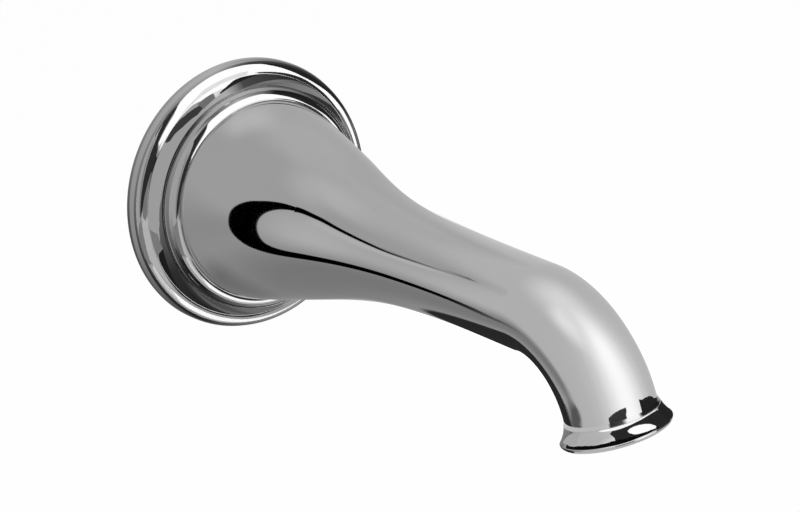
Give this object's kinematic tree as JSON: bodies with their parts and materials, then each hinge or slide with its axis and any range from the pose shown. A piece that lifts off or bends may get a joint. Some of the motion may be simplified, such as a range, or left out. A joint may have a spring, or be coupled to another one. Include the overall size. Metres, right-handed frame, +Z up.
{
  "type": "bath spout",
  "caption": "Wall-mounted bath spout: trumpet-shaped chromed body narrowing to an arm, bent down at the end to a flared lip, on a stepped round flange.",
  "frame": {"origin": "centre of the flange's back face, on the finished wall", "axes": "+Y into the wall, +Z up, the spout reaches out along -Y"},
  "size_m": [0.08, 0.1887, 0.08],
  "materials": {
    "body_chrome": "polished chrome plate on cast brass",
    "flange_chrome": "polished chrome plate on turned brass",
    "gasket_rubber": "matt black moulded rubber",
    "adapter_brass": "turned brass with fine tool marks",
    "seal_rubber": "smooth black rubber",
    "screw_steel": "plain stainless steel"
  },
  "bodies": {
    "root": {"spout_body": "body_chrome", "wall_flange": "flange_chrome", "wall_gasket": "gasket_rubber", "inlet_adapter": "adapter_brass", "rear_o_ring": "seal_rubber", "front_o_ring": "seal_rubber", "set_screw": "screw_steel"}
  },
  "joints": []
}
